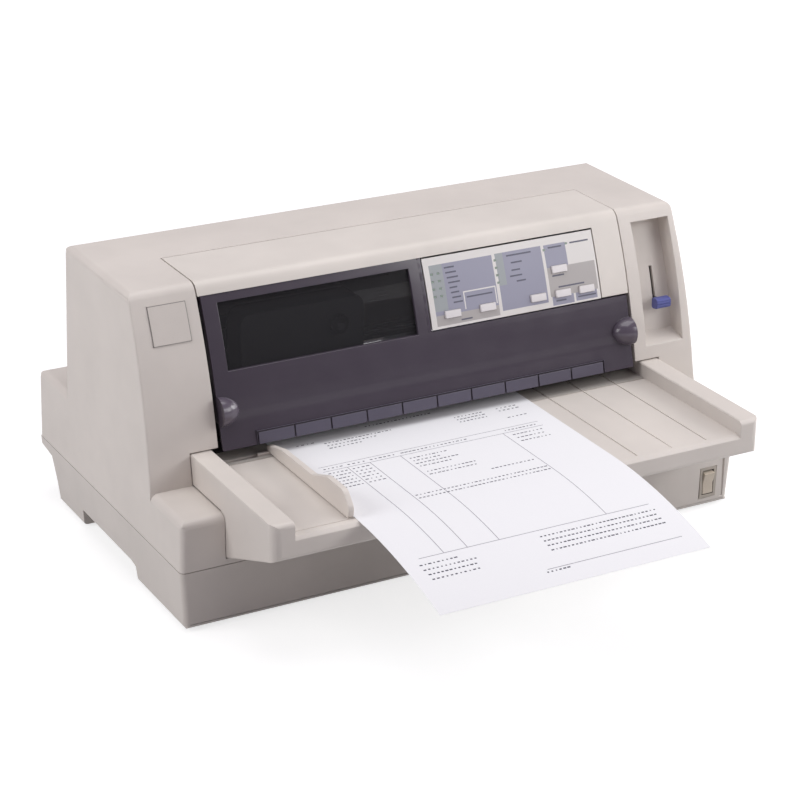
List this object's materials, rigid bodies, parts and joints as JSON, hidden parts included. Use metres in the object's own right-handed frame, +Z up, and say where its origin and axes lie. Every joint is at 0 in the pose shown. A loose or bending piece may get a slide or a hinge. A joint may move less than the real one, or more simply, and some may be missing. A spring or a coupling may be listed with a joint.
{
  "type": "dot matrix printer",
  "caption": "Flat bed dot matrix printer with a hinged smoked front cover, a control panel, a front sheet tray, a release lever, a moving print carriage, feed rollers and a rear tractor.",
  "frame": {"origin": "on the floor below the middle of the whole machine with its sheet", "axes": "+X to the right as seen from the front, +Y to the rear, +Z up"},
  "size_m": [0.463, 0.4557, 0.2195],
  "materials": {
    "case_upper": "matt",
    "case_lower": "matt",
    "case_tray": "matt",
    "case_cover": "matt",
    "smoke": "satin",
    "smoke_pane": "matt",
    "panel_white": "matt",
    "panel_grey": "matt",
    "board": "matt",
    "led": "satin",
    "button": "matt",
    "badge": "matt",
    "switch_frame": "matt",
    "rocker": "matt",
    "rubber_black": "matt",
    "steel_sheet": "satin",
    "steel_bar": "satin",
    "steel_dark": "matt",
    "motor": "matt",
    "black_plastic": "matt",
    "head_alloy": "matt",
    "ribbon_cloth": "matt",
    "gear_white": "matt",
    "gear_brass": "matt",
    "lever_blue": "matt",
    "guide_cream": "matt",
    "paper_white": "matt",
    "tractor_plastic": "matt",
    "supply_case": "matt"
  },
  "bodies": {
    "chassis": {"lower_case": "case_lower", "upper_case": "case_upper", "front_tray": "case_tray", "paper_guide": "steel_sheet", "panel_housing": "panel_grey", "panel_overlay": "panel_white", "panel_board": "board", "indicator_leds": "led", "badge_plate": "badge", "power_switch": "switch_frame", "rubber_feet": "rubber_black", "left_frame": "steel_sheet", "right_frame": "steel_sheet", "guide_rail": "steel_sheet", "guide_shaft": "steel_bar", "platen": "rubber_black", "timing_belt": "rubber_black", "carriage_motor": "motor", "feed_motor": "motor", "shaft_bushes": "gear_brass", "tractor_rail": "steel_bar", "main_board": "board", "power_supply": "supply_case", "ac_inlet": "black_plastic", "belt_spring": "steel_bar", "screws": "steel_bar"},
    "cover": {"cover_top": "case_cover", "cover_window": "smoke", "window_pane": "smoke_pane"},
    "button_1": {"button_1": "button"},
    "button_2": {"button_2": "button"},
    "button_3": {"button_3": "button"},
    "button_4": {"button_4": "button"},
    "button_5": {"button_5": "button"},
    "button_6": {"button_6": "button"},
    "power_rocker": {"power_rocker": "rocker"},
    "release_lever": {"release_lever": "steel_sheet", "lever_knob": "lever_blue"},
    "pinch_frame": {"pinch_frame": "black_plastic"},
    "pinch_rollers": {"pinch_rollers": "rubber_black"},
    "carriage": {"carriage": "black_plastic", "print_head": "head_alloy", "ribbon_cartridge": "black_plastic", "ribbon": "ribbon_cloth"},
    "ribbon_knob": {"ribbon_knob": "tractor_plastic"},
    "drive_pulley": {"drive_pulley": "gear_brass"},
    "idler_pulley": {"idler_pulley": "steel_bar"},
    "motor_pinion": {"motor_pinion": "gear_brass"},
    "idler_gear": {"idler_gear": "gear_white"},
    "front_feed": {"front_feed_shaft": "rubber_black", "front_feed_gear": "gear_white"},
    "rear_feed": {"rear_feed_shaft": "rubber_black", "rear_feed_gear": "gear_white"},
    "edge_guide": {"edge_guide": "guide_cream"},
    "sheet": {"sheet": "paper_white"},
    "tractor_shaft": {"tractor_shaft": "steel_bar"},
    "tractor_left": {"tractor_left": "tractor_plastic"},
    "tractor_right": {"tractor_right": "tractor_plastic"},
    "tractor_flap_left": {"tractor_flap_left": "tractor_plastic"},
    "tractor_flap_right": {"tractor_flap_right": "tractor_plastic"}
  },
  "joints": [
    {"name": "cover_hinge", "type": "hinge", "parent": "chassis", "child": "cover", "pos_m": [0, 0.0968, 0.2155], "axis": [-1, 0, 0], "range_deg": [0, 130]},
    {"name": "button_1_press", "type": "slide", "parent": "chassis", "child": "button_1", "axis": [0, 0.9496, -0.3133], "range_m": [0, 0.0008], "stiffness_N_per_m": 400},
    {"name": "button_2_press", "type": "slide", "parent": "chassis", "child": "button_2", "axis": [0, 0.9496, -0.3133], "range_m": [0, 0.0008], "stiffness_N_per_m": 400},
    {"name": "button_3_press", "type": "slide", "parent": "chassis", "child": "button_3", "axis": [0, 0.9496, -0.3133], "range_m": [0, 0.0008], "stiffness_N_per_m": 400},
    {"name": "button_4_press", "type": "slide", "parent": "chassis", "child": "button_4", "axis": [0, 0.9351, -0.3543], "range_m": [0, 0.0008], "stiffness_N_per_m": 400},
    {"name": "button_5_press", "type": "slide", "parent": "chassis", "child": "button_5", "axis": [0, 0.9496, -0.3133], "range_m": [0, 0.0008], "stiffness_N_per_m": 400},
    {"name": "button_6_press", "type": "slide", "parent": "chassis", "child": "button_6", "axis": [0, 0.9496, -0.3133], "range_m": [0, 0.0008], "stiffness_N_per_m": 400},
    {"name": "rocker_tilt", "type": "hinge", "parent": "chassis", "child": "power_rocker", "pos_m": [0.21, -0.0392, 0.0213], "axis": [-1, 0, 0], "range_deg": [0, 14]},
    {"name": "lever_tilt", "type": "hinge", "parent": "chassis", "child": "release_lever", "pos_m": [0.2077, 0.08657, 0.1425], "axis": [-1, 0, 0], "range_deg": [0, 20]},
    {"name": "pinch_lift", "type": "hinge", "parent": "chassis", "child": "pinch_frame", "pos_m": [0, 0.0748, 0.108], "axis": [-1, 0, 0], "range_deg": [0, 4.1]},
    {"name": "pinch_spin", "type": "hinge", "parent": "pinch_frame", "child": "pinch_rollers", "pos_m": [0, 0.05779, 0.1015], "axis": [1, 0, 0], "continuous": true},
    {"name": "carriage_travel", "type": "slide", "parent": "chassis", "child": "carriage", "axis": [1, 0, 0], "range_m": [-0.053, 0.227]},
    {"name": "ribbon_knob_spin", "type": "hinge", "parent": "carriage", "child": "ribbon_knob", "pos_m": [-0.059, 0.0538, 0.166], "axis": [0, -1, 0], "continuous": true},
    {"name": "drive_pulley_spin", "type": "hinge", "parent": "chassis", "child": "drive_pulley", "pos_m": [0.18, 0.1438, 0.153], "axis": [0, 0, 1], "continuous": true},
    {"name": "idler_pulley_spin", "type": "hinge", "parent": "chassis", "child": "idler_pulley", "pos_m": [-0.18, 0.1438, 0.153], "axis": [0, 0, 1], "continuous": true},
    {"name": "front_feed_spin", "type": "hinge", "parent": "chassis", "child": "front_feed", "pos_m": [0, 0.05779, 0.0875], "axis": [1, 0, 0], "continuous": true},
    {"name": "rear_feed_spin", "type": "hinge", "parent": "chassis", "child": "rear_feed", "pos_m": [0, 0.1478, 0.0875], "axis": [1, 0, 0], "continuous": true},
    {"name": "idler_gear_spin", "type": "hinge", "parent": "chassis", "child": "idler_gear", "pos_m": [-0.21, 0.10279, 0.0875], "axis": [1, 0, 0], "continuous": true},
    {"name": "motor_pinion_spin", "type": "hinge", "parent": "chassis", "child": "motor_pinion", "pos_m": [-0.21, 0.10279, 0.04838], "axis": [1, 0, 0], "continuous": true},
    {"name": "tractor_shaft_spin", "type": "hinge", "parent": "chassis", "child": "tractor_shaft", "pos_m": [0, 0.17336, 0.0782], "axis": [1, 0, 0], "continuous": true},
    {"name": "edge_guide_slide", "type": "slide", "parent": "chassis", "child": "edge_guide", "axis": [-1, 0, 0], "range_m": [0, 0.03]},
    {"name": "sheet_slide", "type": "slide", "parent": "chassis", "child": "sheet", "axis": [0, -1, 0], "range_m": [0, 0.1]},
    {"name": "tractor_left_slide", "type": "slide", "parent": "chassis", "child": "tractor_left", "axis": [1, 0, 0], "range_m": [-0.045, 0.06]},
    {"name": "tractor_right_slide", "type": "slide", "parent": "chassis", "child": "tractor_right", "axis": [1, 0, 0], "range_m": [-0.06, 0.07]},
    {"name": "tractor_flap_left_hinge", "type": "hinge", "parent": "tractor_left", "child": "tractor_flap_left", "pos_m": [-0.133, 0.17336, 0.095], "axis": [0, -1, 0], "range_deg": [0, 100]},
    {"name": "tractor_flap_right_hinge", "type": "hinge", "parent": "tractor_right", "child": "tractor_flap_right", "pos_m": [0.079, 0.17336, 0.095], "axis": [0, 1, 0], "range_deg": [0, 100]}
  ],
  "couplings": [
    {"joint": "pinch_lift", "follows": "lever_tilt", "ratio": 0.2},
    {"joint": "drive_pulley_spin", "follows": "carriage_travel", "rad_per_m": 124.22},
    {"joint": "idler_pulley_spin", "follows": "carriage_travel", "rad_per_m": 124.22},
    {"joint": "rear_feed_spin", "follows": "front_feed_spin", "ratio": 1},
    {"joint": "idler_gear_spin", "follows": "front_feed_spin", "ratio": -0.57895},
    {"joint": "motor_pinion_spin", "follows": "front_feed_spin", "ratio": 1.5714},
    {"joint": "tractor_shaft_spin", "follows": "front_feed_spin", "ratio": -1.5714},
    {"joint": "pinch_spin", "follows": "front_feed_spin", "ratio": -1.6}
  ]
}
